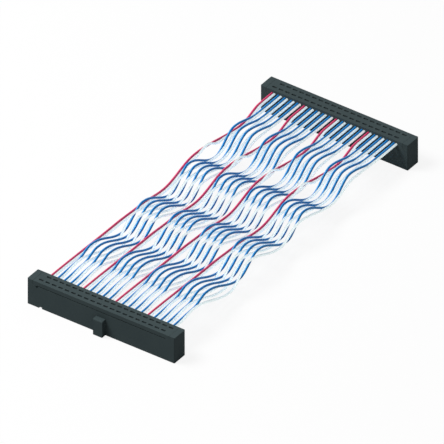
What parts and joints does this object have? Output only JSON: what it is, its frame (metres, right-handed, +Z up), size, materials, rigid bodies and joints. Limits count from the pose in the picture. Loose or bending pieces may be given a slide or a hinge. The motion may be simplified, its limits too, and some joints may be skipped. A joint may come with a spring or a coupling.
{
  "type": "ribbon cable",
  "caption": "Flat ribbon cable of red, blue and white wires that ripple between two long black two-row pin sockets, one keyed side facing out at each end.",
  "frame": {"origin": "middle of the cable between the two sockets, on the surface that the sockets' pin faces rest on", "axes": "+X along the sockets towards the side away from the first red wire, +Y along the wires from the front socket to the rear one, +Z up towards the sockets' covers"},
  "size_m": [0.0582, 0.1406, 0.0117],
  "materials": {
    "socket_plastic": "dark green-grey moulded plastic, nearly matt, with a faint sheen on the top",
    "contact_metal": "stamped and plated contact metal, satin",
    "red_insulation": "smooth soft wire insulation, crimson red, soft sheen",
    "blue_insulation": "smooth soft wire insulation, strong blue, soft sheen",
    "white_insulation": "smooth soft wire insulation, white, soft sheen"
  },
  "bodies": {
    "root": {"front_housing": "socket_plastic", "front_cover": "socket_plastic", "rear_housing": "socket_plastic", "rear_cover": "socket_plastic", "front_contacts": "contact_metal", "rear_contacts": "contact_metal", "red_wire_01": "red_insulation", "red_wire_02": "red_insulation", "red_wire_03": "red_insulation", "red_wire_04": "red_insulation", "blue_wire_01": "blue_insulation", "blue_wire_02": "blue_insulation", "blue_wire_03": "blue_insulation", "blue_wire_04": "blue_insulation", "blue_wire_05": "blue_insulation", "blue_wire_06": "blue_insulation", "blue_wire_07": "blue_insulation", "blue_wire_08": "blue_insulation", "blue_wire_09": "blue_insulation", "blue_wire_10": "blue_insulation", "blue_wire_11": "blue_insulation", "blue_wire_12": "blue_insulation", "blue_wire_13": "blue_insulation", "blue_wire_14": "blue_insulation", "blue_wire_15": "blue_insulation", "blue_wire_16": "blue_insulation", "white_wire_01": "white_insulation", "white_wire_02": "white_insulation", "white_wire_03": "white_insulation", "white_wire_04": "white_insulation", "white_wire_05": "white_insulation", "white_wire_06": "white_insulation", "white_wire_07": "white_insulation", "white_wire_08": "white_insulation", "white_wire_09": "white_insulation", "white_wire_10": "white_insulation", "white_wire_11": "white_insulation", "white_wire_12": "white_insulation", "white_wire_13": "white_insulation", "white_wire_14": "white_insulation", "white_wire_15": "white_insulation", "white_wire_16": "white_insulation", "white_wire_17": "white_insulation", "white_wire_18": "white_insulation", "white_wire_19": "white_insulation", "white_wire_20": "white_insulation"}
  },
  "joints": []
}
